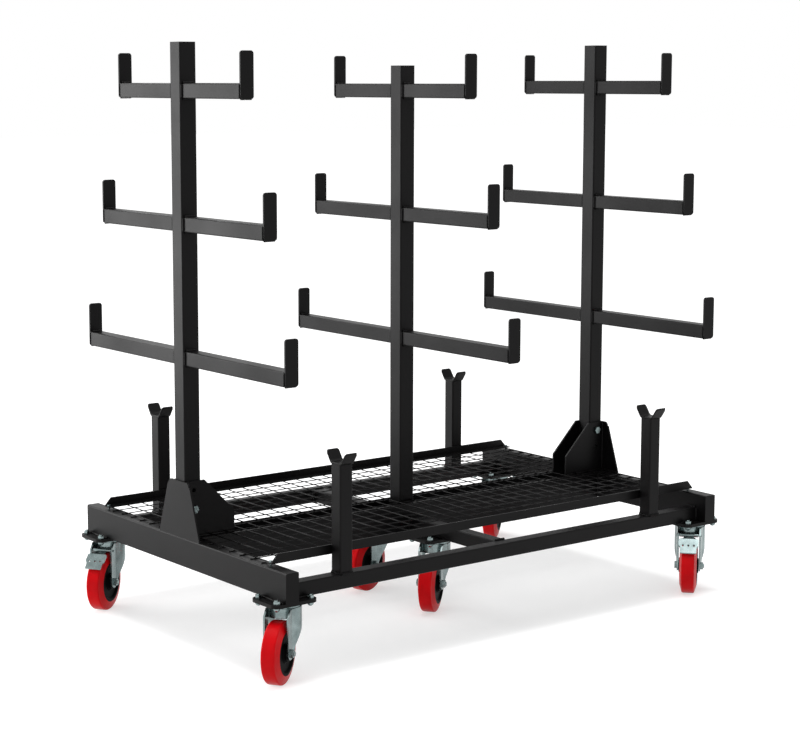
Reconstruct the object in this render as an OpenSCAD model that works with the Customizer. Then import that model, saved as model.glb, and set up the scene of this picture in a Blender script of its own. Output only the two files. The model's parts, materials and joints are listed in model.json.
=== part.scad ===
// Pipe rack trolley: a wheeled steel base with three trees of carrying arms.
// X runs along the length, -Y is the near side and Z is up.
// The origin is on the floor under the middle of the base.

/* [Base] */
// Length over the two end beams
base_l = 1555; // [1400:5:1800]
// Width of the base, along an end beam
base_w = 1000; // [960:5:1150]
// Depth of the end beams and of the spine channels
beam_h = 80; // [70:1:100]
// Width of an end beam
beam_w = 40; // [36:1:50]
// Wall of the base tubes and channels
base_wall = 3; // [2.5:0.5:4]
// Side of the square side rails and cross-members
rail = 40; // [35:1:45]
// Distance from the beam's end in to the side rail
rail_inset = 37; // [20:1:45]
// Half width over the two spine channels
spine_half = 50; // [46:1:60]
// Thickness of the beam end caps
beam_cap = 3; // [2:0.5:5]
// Outer corner radius of the tubes
tube_r = 4; // [2:0.5:4.5]
// Place of the cross-members and the middle castors along the length
cross_x = 0; // [-20:1:20]

/* [Stacking posts] */
// Distance of each post in from the base's end
post_inset = 217.5; // [180:0.5:320]
// Side of a square post
post = 40; // [35:1:45]
// Length of a post above its rail
post_l = 285; // [200:5:330]
// Thickness of a stacking cup
cup_wall = 5; // [3:0.5:6]
// Corner radius of the cup flaps
cup_r = 5; // [2:1:8]
// Outward spread of each cup flap
cup_flare = 20; // [12:1:26]
// Height of a cup flap above the cup's foot
cup_rise = 28; // [20:1:40]

/* [Deck] */
// Leg of the deck edge angles
angle_leg = 25; // [22:1:35]
// Thickness of the deck edge angles
angle_t = 3; // [2.5:0.5:4]
// Gap between an edge angle and the side rail's inner face line
angle_gap = 3; // [1:0.5:6]
// Distance of the angle's end in from the base's end
angle_end = 11.5; // [9:0.5:14]
// Slope cut at each end of the angle's upright leg
angle_cut = 20; // [5:1:30]
// Diameter of a mesh wire
wire_d = 3; // [2.5:0.25:4]
// Spacing of the mesh wires
wire_pitch = 50; // [40:2.5:60]
// Thread diameter of the deck bolts
deck_bolt_d = 6; // [5:1:6]
// Height of the deck bolt heads
deck_head_h = 4; // [3:0.5:5]
// Height of the deck bolt nuts
deck_nut_h = 5; // [4:0.5:6]
// Distance of the deck bolts in from the base's end
deck_bolt_inset = 18.5; // [18:0.5:20]
// Distance of the mesh's ends in from the base's end
mesh_inset = 12.5; // [6:0.5:16]
// Gap between the brackets and the wires along them
mesh_gap = 4; // [2:0.5:8]

/* [Tree brackets] */
// Plate thickness of the tree brackets
bracket_t = 5; // [4:0.5:6]
// Height of the brackets above the beam
bracket_h = 154; // [145:1:170]
// Half width of the outer plate at its foot
bracket_foot = 100; // [80:1:120]
// Half width of the outer plate at its top
bracket_top = 50; // [42:1:60]
// Radius of the outer plate's top corners
bracket_corner = 12; // [4:1:12]
// Reach of the side plates from the base's end
bracket_l = 159.5; // [145:0.5:180]
// Height of the side plates at their inner end
bracket_lip = 59; // [50:1:70]
// Height of the lower bolt hole above the beam
pivot_low = 77; // [70:1:80]
// Height of the upper bolt hole above the beam
pivot_high = 129; // [125:1:132]
// Thread diameter of the pivot bolts
pivot_d = 12; // [10:1:14]
// Wall of the pivot bushes
bush_wall = 4; // [2:0.5:6]
// Side clearance of an upright between its side plates
tree_gap = 0.5; // [0.3:0.1:1]

/* [Trees] */
// Rise of an end upright above its top arms
end_rise = 107; // [20:1:200]
// Rise of the middle upright above its top arms
mid_rise = 51; // [20:1:200]
// Place of the middle tree along the length
mid_x = -10; // [-20:1:20]
// Side of a square upright
upright = 50; // [45:1:50]
// Side of a square arm
arm = 40; // [30:1:42]
// Wall of the uprights and arms
tree_wall = 3; // [2.5:0.5:4]
// Height of the low arms' undersides
arm_z_low = 758; // [700:1:800]
// Height of the middle arms' undersides
arm_z_mid = 1115; // [1050:1:1150]
// Height of the top arms' undersides
arm_z_top = 1465; // [1400:1:1480]
// How much lower the middle tree carries its arms
mid_drop = 5; // [0:1:20]
// Half span of the low arms over their stops
span_low = 487.5; // [440:0.5:520]
// Half span of the middle arms over their stops
span_mid = 398.5; // [350:0.5:430]
// Half span of the top arms over their stops
span_top = 300; // [250:1:340]
// Height of a stop plate
stop_h = 121; // [90:1:150]
// Thickness of a stop plate
stop_t = 5; // [4:0.5:8]
// Corner radius of a stop plate
stop_r = 8; // [3:1:14]
// Clearance of the middle upright in its socket
socket_gap = 0.75; // [0.4:0.05:1]
// Thickness of the socket plates
socket_t = 5; // [4:0.5:6]

/* [Castors] */
// Diameter of a wheel
wheel_d = 164; // [150:1:168]
// Width of a wheel at its hub
wheel_w = 50; // [40:1:52]
// Width of the tread, where the tyre is narrowest
tread_w = 38; // [30:1:40]
// Radius of the tread's edges
tread_r = 5; // [2:0.5:8]
// Diameter of the wheel's hub
hub_d = 115; // [100:1:118]
// Radius of the hub's boss
hub_boss_r = 22; // [18:1:24]
// How far the hub's boss stands out past the wheel's side
hub_proud = 3.5; // [2:0.5:6]
// Depth of the ring sunk into each side of the hub
hub_dish = 5; // [2:0.5:10]
// Rise of a castor's top plate above its wheel
castor_rise = 42; // [40:1:50]
// Trail of the axle behind the swivel axis
trail = 48; // [42:1:52]
// Thickness of the fork's pressed steel
fork_wall = 4.5; // [3:0.5:5]
// Radius of the fork's crown round the swivel axis
crown_r = 44.5; // [42:0.5:50]
// Depth of the fork's skirt ahead of the wheel
skirt_h = 33; // [20:1:36]
// Gap between the crown's rear wall and the tread
tread_gap = 3; // [2:0.5:6]
// Radius of the fork's ends round the axle
boss_r = 17; // [14:1:20]
// Height of the swivel head between the top plate and the crown
head_h = 8.5; // [7:0.5:12]
// Radius of the upper ball race
race_r = 42.5; // [34:0.5:44]
// Rise of the swivel nut
king_nut_h = 9; // [7:1:10]
// Length of a castor plate
plate_l = 138; // [134:1:145]
// Width of a castor plate
plate_w = 110; // [106:1:116]
// Thickness of the plates welded under the base
mount_t = 5; // [4:0.5:8]
// Thickness of the castors' own top plates
plate_t = 4; // [4:0.5:6]
// Corner radius of a castor plate
plate_r = 18; // [6:1:20]
// Bolt spacing along a castor plate
bolt_l = 105; // [102:1:108]
// Bolt spacing across a castor plate
bolt_w = 80; // [78:1:84]
// Thread diameter of the castor bolts
bolt_d = 10; // [8:1:10]
// Height of the round castor bolt heads
bolt_head_h = 7; // [5:0.5:8]
// Diameter of the kingpin
kingpin_d = 16; // [12:1:18]
// Diameter of the axles
axle_d = 12; // [10:1:14]
// Distance of a corner castor's swivel axis in from the base's end
castor_inset = 38; // [30:1:40]
// Distance of a corner castor's plate in from the beam's end
plate_inset = 6; // [0:1:12]
// Distance of the middle castors from the centre line
mid_castor_y = 143; // [138:1:160]
// Diameter of the pin of a brake pedal
brake_pin_d = 6; // [5:1:8]
// Thickness of a brake pedal's sheet
pedal_t = 3; // [2:0.5:4]
// Gap between a raised brake pedal and the tread
pedal_gap = 8.5; // [7:0.5:12]
// Width of the pedal beside its pin
pedal_neck = 29; // [24:1:40]
// Width of the pedal at its shoulders
pedal_shoulder = 58; // [50:1:66]
// Width of the pedal's tongue
pedal_tongue = 48; // [40:1:56]
// Diameter of the three holes along the pedal's last bend
pedal_hole = 6; // [4:0.5:8]
// Reach of the pedal behind the axle
pedal_reach = 74; // [66:1:80]
// Swivel direction of the rear left castor
swivel_rl = -144; // [-180:1:180]
// Swivel direction of the front left castor
swivel_fl = -145; // [-180:1:180]
// Swivel direction of the middle rear castor
swivel_mr = -161; // [-180:1:180]
// Swivel direction of the middle front castor
swivel_mf = -143; // [-180:1:180]
// Swivel direction of the rear right castor
swivel_rr = -141; // [-180:1:180]
// Swivel direction of the front right castor
swivel_fr = -139; // [-180:1:180]

/* [Hidden] */
$fn = 64;

black = [0.07, 0.07, 0.08];
zinc = [0.72, 0.73, 0.75];
red = [0.75, 0.09, 0.07];
plastic = [0.04, 0.04, 0.045];

// Radial clearance of a bolt or pin in the part that turns on it
pin_fit = 0.06;
// Clearance between pieces that rest on each other but part
seat_gap = 0.3;
// Radial clearance of a bolt in its hole
bolt_fit = 0.3;
// Clearance over the crossings of the wires
weld_gap = 0.1;
// Gap between the end of a wire and the piece beside it
wire_end = 0.5;
// Length of a thread past its nut
thread_end = 3;

half_l = base_l / 2;
half_w = base_w / 2;
castor_h = wheel_d + castor_rise;
frame_z = castor_h + mount_t;
beam_top = frame_z + beam_h;
rail_top = frame_z + rail;
inner_x = half_l - beam_w;
rail_out = half_w - rail_inset;
rail_in = rail_out - rail;
rail_y = (rail_out + rail_in) / 2;
spine_toe = upright / 2 + 1;
deck_y = rail_in - angle_gap;
post_x = half_l - post_inset;
cup_z = rail_top + post_l;
end_tree_h = arm_z_top + arm + end_rise;
mid_tree_h = arm_z_top - mid_drop + arm + mid_rise;

tree_x = half_l - bracket_t - tree_gap - upright / 2;
side_plate_y = upright / 2 + tree_gap;
side_plate_out = side_plate_y + bracket_t;
bracket_in = half_l - bracket_l;
left_pivot_z = beam_top + pivot_low;
right_pivot_z = beam_top + pivot_high;
foot_r = upright / 2 - tree_gap;
foot_plate_z = frame_z + base_wall;
mid_foot_z = foot_plate_z + socket_t + seat_gap;

castor_x = half_l - castor_inset;
castor_y = half_w - plate_w / 2 - plate_inset;
castors = [
    [-castor_x, castor_y, swivel_rl],
    [-castor_x, -castor_y, swivel_fl],
    [cross_x, mid_castor_y, swivel_mr],
    [cross_x, -mid_castor_y, swivel_mf],
    [castor_x, castor_y, swivel_rr],
    [castor_x, -castor_y, swivel_fr]
];

// Castor heights and fork sizes follow the wheel
axle_z = wheel_d / 2;
hub_half = wheel_w / 2 + hub_proud;
fork_in = hub_half + 1;
fork_out = fork_in + fork_wall;
fork_tail = trail + boss_r;
fork_waist = 0.8 * trail;
pedal_barrel = 2 * fork_in - 5;
crown_top = castor_h - plate_t - head_h;
crown_low = crown_top - fork_wall;
brake_pin = [trail + brake_pin_d, crown_top - 3 * brake_pin_d - 1.5];

// Basic sections and fasteners

// Oblong with four round corners
module round_oblong(l, w, r) {
    square([l, w - 2 * r], center = true);
    square([l - 2 * r, w], center = true);
    for (sx = [-1, 1])
        for (sy = [-1, 1])
            translate([sx * (l / 2 - r), sy * (w / 2 - r)])
                circle(r = r);
}

// Square or oblong tube along Y, centred on X and Y and standing on z = 0
module tube_y(w, h, len, wall) {
    translate([0, len / 2, h / 2])
        rotate([90, 0, 0])
            tube_z(w, h, len, wall);
}

// The same tube along X
module tube_x(w, h, len, wall) {
    rotate([0, 0, 90]) tube_y(w, h, len, wall);
}

// The same tube upright, centred on X and Y and standing on z = 0
module tube_z(w, h, len, wall) {
    linear_extrude(len)
        difference() {
            round_oblong(w, h, tube_r);
            square([w - 2 * wall, h - 2 * wall], center = true);
        }
}

// Hexagon prism across its flats
module hex(flats, height) {
    cylinder(d = flats / cos(30), h = height, $fn = 6);
}

// Bolt with its head on z = 0 and its shank down to -len
module bolt(d, len, head_h) {
    hex(1.6 * d, head_h);
    translate([0, 0, -len]) cylinder(d = d, h = len);
}

// Bolt with a round head under z = 0 and its shank up to len
module round_bolt(d, len, head_h) {
    head_r = 0.85 * d;
    ball_r = (head_r * head_r + head_h * head_h) / (2 * head_h);
    rotate_extrude()
        intersection() {
            translate([0, ball_r - head_h]) circle(r = ball_r);
            translate([0, -head_h]) square([head_r, head_h]);
        }
    cylinder(d = d, h = len);
}

// Nut with its top face on z = 0
module nut(d, height) {
    translate([0, 0, -height])
        difference() {
            hex(1.6 * d, height);
            translate([0, 0, -1]) cylinder(d = d, h = height + 2);
        }
}

// Children in all four corners
module at_corners() {
    for (sx = [0, 1])
        for (sy = [0, 1])
            mirror([sx, 0, 0])
                mirror([0, sy, 0])
                    children();
}

// Base frame

// End beam with the holes of the deck bolts
module end_beam() {
    difference() {
        translate([half_l - beam_w / 2, 0, frame_z])
            tube_y(beam_w, beam_h, base_w - 2 * beam_cap, base_wall);
        for (side = [-1, 1])
            translate([deck_bolt_x, side * deck_bolt_y, beam_top - base_wall - 1])
                cylinder(d = deck_bolt_d + 2 * bolt_fit, h = base_wall + 2);
    }
}

module left_end_beam() {
    color(black) mirror([1, 0, 0]) end_beam();
}

module right_end_beam() {
    color(black) end_beam();
}

module beam_end_caps() {
    color(black)
        at_corners()
            translate([half_l - beam_w / 2, half_w, frame_z + beam_h / 2])
                rotate([90, 0, 0])
                    linear_extrude(beam_cap)
                        round_oblong(beam_w, beam_h, tube_r);
}

module side_rail() {
    translate([0, rail_y, frame_z]) tube_x(rail, rail, 2 * inner_x, base_wall);
}

module front_side_rail() {
    color(black) mirror([0, 1, 0]) side_rail();
}

module rear_side_rail() {
    color(black) side_rail();
}

// Pressed channel with its web outward and its flanges toward the middle
module spine_channel() {
    translate([0, 0, frame_z])
        difference() {
            translate([-inner_x, spine_toe, 0])
                cube([2 * inner_x, spine_half - spine_toe, beam_h]);
            translate([-inner_x - 1, spine_toe - 1, base_wall])
                cube([2 * inner_x + 2, spine_half - base_wall - spine_toe + 1, beam_h - 2 * base_wall]);
        }
}

module front_spine_channel() {
    color(black) mirror([0, 1, 0]) spine_channel();
}

module rear_spine_channel() {
    color(black) spine_channel();
}

// Two half members that butt on the spine and on the rails
module cross_members() {
    color(black)
        for (side = [-1, 1])
            translate([cross_x, side * (rail_in + spine_half) / 2, frame_z])
                tube_y(rail, rail, rail_in - spine_half, base_wall);
}

// Stacking posts and cups

module stacking_post() {
    translate([post_x, rail_y, rail_top]) tube_z(post, post, post_l, base_wall);
}

module front_left_post() {
    color(black) rotate([0, 0, 180]) stacking_post();
}

module front_right_post() {
    color(black) mirror([0, 1, 0]) stacking_post();
}

module rear_left_post() {
    color(black) mirror([1, 0, 0]) stacking_post();
}

module rear_right_post() {
    color(black) stacking_post();
}

// Trough section with a flat foot and two flared flaps
module cup_section() {
    rim = [cup_flare, cup_rise - cup_wall];
    along = rim / norm(rim);
    inward = [-along[1], along[0]] * cup_wall;
    foot = post / 2;
    bend = foot + inward[0] + along[0] / along[1] * (cup_wall - inward[1]);
    polygon([
        [-foot, 0],
        [foot, 0],
        [foot + rim[0], rim[1]],
        [foot + rim[0] + inward[0], rim[1] + inward[1]],
        [bend, cup_wall],
        [-bend, cup_wall],
        [-foot - rim[0] - inward[0], rim[1] + inward[1]],
        [-foot - rim[0], rim[1]]
    ]);
}

module stacking_cups() {
    color(black)
        at_corners()
            translate([post_x, rail_y, cup_z])
                intersection() {
                    translate([-post / 2, 0, 0])
                        rotate([90, 0, 90])
                            linear_extrude(post)
                                cup_section();
                    linear_extrude(cup_rise) round_oblong(post, post + 2 * cup_flare, cup_r);
                }
}

// Tree brackets and socket

// Outer plate of a bracket, drawn across Y and up from the beam's top
module outer_plate_outline() {
    difference() {
        polygon([
            [-bracket_foot, 0],
            [bracket_foot, 0],
            [bracket_top, bracket_h],
            [-bracket_top, bracket_h]
        ]);
        for (side = [0, 1])
            mirror([side, 0, 0])
                translate([bracket_top - bracket_corner, bracket_h - bracket_corner])
                    difference() {
                        square(2 * bracket_corner);
                        circle(r = bracket_corner);
                    }
    }
}

// Side plate of a bracket, drawn along X and up from the beam's top, let into the outer plate
module side_plate_outline() {
    polygon([
        [bracket_in, 0],
        [half_l - bracket_t / 2, 0],
        [half_l - bracket_t / 2, bracket_h],
        [bracket_in + bracket_h - bracket_lip, bracket_h],
        [bracket_in, bracket_lip]
    ]);
}

// Right hand bracket: an outer plate and two side plates with two bolt holes each
module tree_bracket() {
    translate([half_l - bracket_t, 0, beam_top])
        rotate([90, 0, 90])
            linear_extrude(bracket_t)
                outer_plate_outline();
    difference() {
        for (side = [-1, 1])
            translate([0, side * (side_plate_y + bracket_t / 2) + bracket_t / 2, beam_top])
                rotate([90, 0, 0])
                    linear_extrude(bracket_t)
                        side_plate_outline();
        for (hole_z = [left_pivot_z, right_pivot_z])
            translate([tree_x, side_plate_out + 1, hole_z])
                rotate([90, 0, 0])
                    cylinder(d = pivot_d + 2 * pin_fit, h = 2 * side_plate_out + 2);
    }
}

module left_tree_bracket() {
    color(black) mirror([1, 0, 0]) tree_bracket();
}

module right_tree_bracket() {
    color(black) tree_bracket();
}

// Two cross plates and a foot plate between the spine channels
module centre_socket() {
    reach = spine_half - base_wall;
    near = upright / 2 + socket_gap;
    plate_h = beam_h - 2 * base_wall;
    color(black)
        translate([mid_x, 0, 0]) {
            for (side = [0, 1])
                mirror([side, 0, 0])
                    translate([near, -reach, foot_plate_z])
                        cube([socket_t, 2 * reach, plate_h]);
            translate([-near - socket_t / 2, -reach, foot_plate_z])
                cube([2 * near + socket_t, 2 * reach, socket_t]);
        }
}

// Deck

deck_bolt_x = half_l - deck_bolt_inset;
deck_bolt_y = deck_y - angle_leg / 2;
long_wire_z = beam_top + wire_d / 2;
cross_wire_z = beam_top + 1.5 * wire_d + weld_gap;
angle_z = beam_top + 2 * (wire_d + weld_gap);

// Edge angle with sloped ends, lying on the mesh
module deck_angle() {
    end = half_l - angle_end;
    difference() {
        union() {
            translate([-end, deck_y - angle_leg, angle_z])
                cube([2 * end, angle_leg, angle_t]);
            translate([0, deck_y, angle_z])
                rotate([90, 0, 0])
                    linear_extrude(angle_t)
                        polygon([
                            [-end, 0],
                            [end, 0],
                            [end, angle_t],
                            [end - angle_cut, angle_leg],
                            [angle_cut - end, angle_leg],
                            [-end, angle_t]
                        ]);
        }
        for (side = [-1, 1])
            translate([side * deck_bolt_x, deck_bolt_y, angle_z - 1])
                cylinder(d = deck_bolt_d + 2 * bolt_fit, h = angle_t + 2);
    }
}

module front_deck_angle() {
    color(black) mirror([0, 1, 0]) deck_angle();
}

module rear_deck_angle() {
    color(black) deck_angle();
}

// Wire along Y from a distance off the centre line to the deck's edge
module cross_wire(x, from) {
    to = deck_y - 1;
    translate([x, to, cross_wire_z])
        rotate([90, 0, 0])
            cylinder(d = wire_d, h = to - from, $fn = 16);
}

module long_wire(y) {
    reach = half_l - mesh_inset;
    translate([-reach, y, long_wire_z])
        rotate([0, 90, 0])
            cylinder(d = wire_d, h = 2 * reach, $fn = 16);
}

// Rear half of the welded mesh, with long wires below and cross wires above
module deck_mesh() {
    last_x = deck_bolt_x - deck_bolt_d - wire_d;
    steps = round(2 * last_x / wire_pitch);
    first_row = side_plate_out + wire_d / 2 + mesh_gap;
    for (i = [0 : steps]) {
        x = (2 * i / steps - 1) * last_x;
        at_bracket = abs(x) > bracket_in - wire_d;
        at_upright = abs(x - mid_x) < upright / 2 + wire_d;
        cross_wire(x, at_bracket ? side_plate_out + wire_end : at_upright ? spine_toe + 2 * wire_end : 0);
    }
    long_wire(first_row);
    long_wire(deck_y - wire_d);
    for (y = [1.5 * wire_pitch : wire_pitch : deck_bolt_y - deck_bolt_d - wire_d])
        long_wire(y);
}

module front_deck_mesh() {
    color(black) mirror([0, 1, 0]) deck_mesh();
}

module rear_deck_mesh() {
    color(black) deck_mesh();
}

module deck_bolts() {
    under = beam_top - base_wall;
    color(zinc)
        at_corners()
            translate([deck_bolt_x, deck_bolt_y, 0]) {
                translate([0, 0, angle_z + angle_t])
                    bolt(deck_bolt_d, angle_z + angle_t - under + deck_nut_h + thread_end, deck_head_h);
                translate([0, 0, under]) nut(deck_bolt_d, deck_nut_h);
            }
}

// Trees

// Foot of an end tree, rounded about its pivot so that it can swing down
module hinged_upright(pivot_z, lock_z) {
    wide = upright + 2;
    difference() {
        intersection() {
            translate([0, 0, pivot_z - upright])
                tube_z(upright, upright, end_tree_h - tree_wall - pivot_z + upright, tree_wall);
            union() {
                translate([0, wide / 2, pivot_z])
                    rotate([90, 0, 0])
                        cylinder(r = foot_r, h = wide);
                translate([-wide / 2, -wide / 2, pivot_z])
                    cube([wide, wide, end_tree_h]);
            }
        }
        for (hole_z = [pivot_z, lock_z])
            translate([0, wide / 2, hole_z])
                rotate([90, 0, 0])
                    cylinder(d = pivot_d + 2 * pin_fit, h = wide);
    }
    pivot_bush(pivot_z);
    top_cap(end_tree_h);
}

// Bush between the walls of an upright, which keeps the bolt from crushing it
module pivot_bush(pivot_z) {
    len = upright - 2 * tree_wall;
    translate([0, len / 2, pivot_z])
        rotate([90, 0, 0])
            difference() {
                cylinder(d = pivot_d + 2 * bush_wall, h = len);
                translate([0, 0, -1]) cylinder(d = pivot_d + 2 * pin_fit, h = len + 2);
            }
}

module top_cap(top) {
    translate([0, 0, top - tree_wall])
        linear_extrude(tree_wall)
            round_oblong(upright, upright, tube_r);
}

// Six arms, two at each height, butting on the upright
module tree_arms(drop) {
    levels = [[arm_z_low, span_low], [arm_z_mid, span_mid], [arm_z_top, span_top]];
    for (level = levels)
        for (side = [-1, 1]) {
            len = level[1] - stop_t - upright / 2;
            translate([0, side * (upright / 2 + len / 2), level[0] - drop])
                tube_y(arm, arm, len, tree_wall);
        }
}

// Stop plate with four round corners, drawn across X and up
module stop_outline() {
    half = arm / 2;
    difference() {
        translate([-half, 0]) square([arm, stop_h]);
        for (flip = [0, 1])
            translate([0, flip * stop_h])
                mirror([0, flip])
                    for (side = [0, 1])
                        mirror([side, 0])
                            translate([half - stop_r, stop_r])
                                difference() {
                                    translate([0, -2 * stop_r]) square(2 * stop_r);
                                    circle(r = stop_r);
                                }
    }
}

module tree_stops(drop) {
    levels = [[arm_z_low, span_low], [arm_z_mid, span_mid], [arm_z_top, span_top]];
    for (level = levels)
        for (side = [0, 1])
            mirror([0, side, 0])
                translate([0, level[1], level[0] - drop])
                    rotate([90, 0, 0])
                        linear_extrude(stop_t)
                            stop_outline();
}

module left_tree_upright() {
    color(black) translate([-tree_x, 0, 0]) hinged_upright(left_pivot_z, right_pivot_z);
}

module left_tree_arms() {
    color(black) translate([-tree_x, 0, 0]) tree_arms(0);
}

module left_tree_stops() {
    color(black) translate([-tree_x, 0, 0]) tree_stops(0);
}

module centre_tree_upright() {
    color(black)
        translate([mid_x, 0, 0]) {
            translate([0, 0, mid_foot_z])
                tube_z(upright, upright, mid_tree_h - tree_wall - mid_foot_z, tree_wall);
            top_cap(mid_tree_h);
        }
}

module centre_tree_arms() {
    color(black) translate([mid_x, 0, 0]) tree_arms(mid_drop);
}

module centre_tree_stops() {
    color(black) translate([mid_x, 0, 0]) tree_stops(mid_drop);
}

module right_tree_upright() {
    color(black) translate([tree_x, 0, 0]) hinged_upright(right_pivot_z, right_pivot_z);
}

module right_tree_arms() {
    color(black) translate([tree_x, 0, 0]) tree_arms(0);
}

module right_tree_stops() {
    color(black) translate([tree_x, 0, 0]) tree_stops(0);
}

// Bolts through both side plates, the left one lower than the right one
module pivot_bolts() {
    nut_h = 0.8 * pivot_d;
    color(zinc)
        for (place = [[-tree_x, left_pivot_z], [tree_x, right_pivot_z]])
            translate([place[0], -side_plate_out, place[1]])
                rotate([90, 0, 0]) {
                    bolt(pivot_d, 2 * side_plate_out + nut_h + thread_end, 0.6 * pivot_d);
                    translate([0, 0, -2 * side_plate_out]) nut(pivot_d, nut_h);
                }
}

// Castors

// Children at a castor's swivel axis, with local X along the trail
module at_castor(place) {
    translate([place[0], place[1], 0]) rotate([0, 0, place[2]]) children();
}

// Children at the four bolts of a castor plate
module at_plate_bolts() {
    for (sx = [-1, 1])
        for (sy = [-1, 1])
            translate([sx * bolt_l / 2, sy * bolt_w / 2, 0]) children();
}

module castor_plate(z, thickness) {
    difference() {
        translate([0, 0, z])
            linear_extrude(thickness)
                round_oblong(plate_l, plate_w, plate_r);
        at_plate_bolts()
            translate([0, 0, z - 1]) cylinder(d = bolt_d + 1, h = thickness + 2);
    }
}

module castor_mount_plates() {
    color(black)
        for (place = castors)
            translate([place[0], place[1], 0]) castor_plate(castor_h, mount_t);
}

// Top plate with its upper ball race, the kingpin and the kingpin's nut
module castor_top_plates() {
    plate_z = castor_h - plate_t;
    race_z = crown_top + seat_gap;
    nut_top = crown_low - seat_gap;
    pin_end = nut_top - king_nut_h - thread_end;
    for (place = castors)
        translate([place[0], place[1], 0]) {
            color(black) castor_plate(plate_z, plate_t);
            color(zinc) {
                translate([0, 0, race_z]) cylinder(r = race_r, h = plate_z - race_z);
                translate([0, 0, pin_end]) cylinder(d = kingpin_d, h = race_z - pin_end);
                translate([0, 0, nut_top - king_nut_h]) hex(1.5 * kingpin_d, king_nut_h);
            }
        }
}

// Round heads under the plates and nuts above them
module castor_bolts() {
    plate_z = castor_h - plate_t;
    nut_h = 0.8 * bolt_d;
    color(zinc)
        for (place = castors)
            translate([place[0], place[1], 0])
                at_plate_bolts() {
                    translate([0, 0, plate_z])
                        round_bolt(bolt_d, frame_z - plate_z + nut_h + thread_end, bolt_head_h);
                    translate([0, 0, frame_z + nut_h]) nut(bolt_d, nut_h);
                }
}

// Plan of the fork: round at the swivel, straight beside the wheel
module fork_plan(inset) {
    half = fork_out - inset;
    circle(r = crown_r - inset);
    polygon([
        [0, crown_r - inset],
        [0, inset - crown_r],
        [fork_waist, -half],
        [fork_tail, -half],
        [fork_tail, half],
        [fork_waist, half]
    ]);
}

// Leading edge of a fork leg: a curve from the skirt down to the front of the boss
function leg_edge(start, t) =
    let (end = [trail - boss_r, axle_z])
    let (pull = [(start[0] + 2 * end[0]) / 3, start[1] - 0.25 * (start[1] - end[1])])
    (1 - t) * (1 - t) * start + 2 * t * (1 - t) * pull + t * t * end;

// Side view of a fork leg, drawn along the trail and up
module fork_side() {
    translate([trail, axle_z]) circle(r = boss_r);
    skirt = crown_top - skirt_h;
    polygon([
        [-crown_r, crown_top],
        [-crown_r, skirt],
        for (i = [1 : 8]) leg_edge([-crown_r, skirt], i / 8),
        [fork_tail, axle_z],
        [fork_tail, crown_top - boss_r],
        [trail, crown_top]
    ]);
}

// Solid that follows the side view across the full width of the fork
module across_fork() {
    translate([0, crown_r + 1, 0])
        rotate([90, 0, 0])
            linear_extrude(2 * crown_r + 2)
                children();
}

// Space between the legs, open at the tail
module fork_opening() {
    fork_plan(fork_wall);
    translate([0, -fork_in]) square([fork_tail + 1, 2 * fork_in]);
}

// Space behind the round crown, between the tops of the legs
module behind_crown() {
    difference() {
        translate([0, -fork_in]) square([fork_tail + 1, 2 * fork_in]);
        circle(r = crown_r);
    }
}

// The crown is a round cup whose rear wall ends just clear of the tread
module castor_fork(braked) {
    foot_z = axle_z - boss_r;
    rim_z = wheel_d + tread_gap;
    color(zinc)
        difference() {
            intersection() {
                translate([0, 0, foot_z]) linear_extrude(crown_top - foot_z) fork_plan(0);
                across_fork() fork_side();
            }
            translate([0, 0, foot_z - 1]) linear_extrude(rim_z - foot_z + 1) fork_opening();
            translate([0, 0, rim_z]) cylinder(r = crown_r - fork_wall, h = crown_low - rim_z);
            translate([0, 0, rim_z - 1]) linear_extrude(crown_top - rim_z + 2) behind_crown();
            across_fork() translate([trail, axle_z]) circle(d = axle_d + 2 * pin_fit);
            if (braked)
                across_fork() translate(brake_pin) circle(d = brake_pin_d + 2 * pin_fit);
            translate([0, 0, crown_low - 1]) cylinder(d = kingpin_d + 2 * pin_fit, h = fork_wall + 2);
        }
}

// Axle bolt with its nut, and on a braked castor the pedal's pin as well
module castor_axle(braked) {
    head_h = 0.6 * axle_d;
    nut_h = 0.7 * axle_d;
    color(zinc) {
        translate([trail, -fork_out, axle_z])
            rotate([90, 0, 0]) {
                bolt(axle_d, 2 * fork_out + nut_h + thread_end, head_h);
                translate([0, 0, -2 * fork_out]) nut(axle_d, nut_h);
            }
        if (braked)
            translate([brake_pin[0], fork_out + thread_end, brake_pin[1]])
                rotate([90, 0, 0])
                    cylinder(d = brake_pin_d, h = 2 * (fork_out + thread_end));
    }
}

// Section of the hub: boss, dished web and rim, drawn by radius and width
module hub_section() {
    bore_r = axle_d / 2 + pin_fit;
    rim_r = hub_d / 2;
    half = wheel_w / 2;
    edge = rim_r - 1.2 * hub_dish;
    web = half - hub_dish;
    foot = hub_boss_r + hub_dish;
    outline = [
        [bore_r, hub_half],
        [hub_boss_r - 1, hub_half],
        [hub_boss_r, hub_half - 1],
        [hub_boss_r, half],
        [foot, web],
        [edge - hub_dish, web],
        [edge, half],
        [rim_r, half]
    ];
    polygon(concat(outline, [for (i = [len(outline) - 1 : -1 : 0]) [outline[i][0], -outline[i][1]]]));
}

module castor_hub() {
    color(plastic)
        translate([trail, 0, axle_z])
            rotate([90, 0, 0])
                rotate_extrude()
                    hub_section();
}

// Section of the tyre: sides that slope in to a narrower tread with round edges
module tyre_section() {
    in_r = hub_d / 2;
    edge = wheel_d / 2 - tread_r;
    half = wheel_w / 2;
    half_tread = tread_w / 2;
    polygon([
        [in_r, -half],
        [edge, -half_tread],
        [edge, half_tread],
        [in_r, half]
    ]);
    translate([edge, tread_r - half_tread]) square([tread_r, tread_w - 2 * tread_r]);
    for (side = [-1, 1])
        translate([edge, side * (half_tread - tread_r)])
            circle(r = tread_r);
}

module castor_tyre() {
    color(red)
        translate([trail, 0, axle_z])
            rotate([90, 0, 0])
                rotate_extrude()
                    tyre_section();
}

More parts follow.
